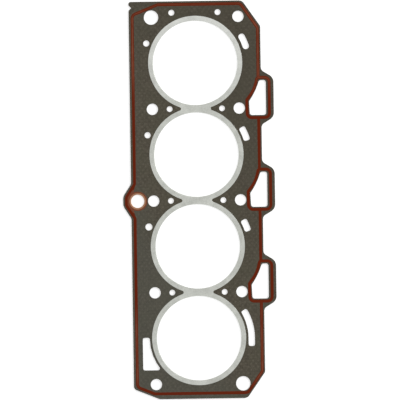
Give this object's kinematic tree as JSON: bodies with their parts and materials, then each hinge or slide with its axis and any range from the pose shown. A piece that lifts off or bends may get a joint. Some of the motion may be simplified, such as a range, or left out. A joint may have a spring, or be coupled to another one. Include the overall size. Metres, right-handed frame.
{
  "type": "cylinder head gasket",
  "caption": "Flat composite head gasket with joined sheet-metal fire rings round its bores, bolt and dowel holes, coolant slots, side ears with ports, and a raised sealing bead.",
  "frame": {"origin": "middle of the bolt grid, in the plane on which the armour's lower flanges rest", "axes": "+Y along the crank, towards the end with two small coolant holes; +X towards the pushrod ears; +Z towards the cylinder head"},
  "size_m": [0.1473, 0.3856, 0.0019],
  "materials": {
    "core_steel": "tanged sheet, dull",
    "facing": "matt fibre and graphite facing",
    "armour": "satin tinned sheet",
    "bead": "printed silicone, slight sheen",
    "eyelet": "copper-coloured sheet"
  },
  "bodies": {
    "root": {"core_plate": "core_steel", "lower_facing": "facing", "upper_facing": "facing", "bore_armour": "armour", "lower_bead": "bead", "upper_bead": "bead", "oil_eyelet": "eyelet"}
  },
  "joints": []
}
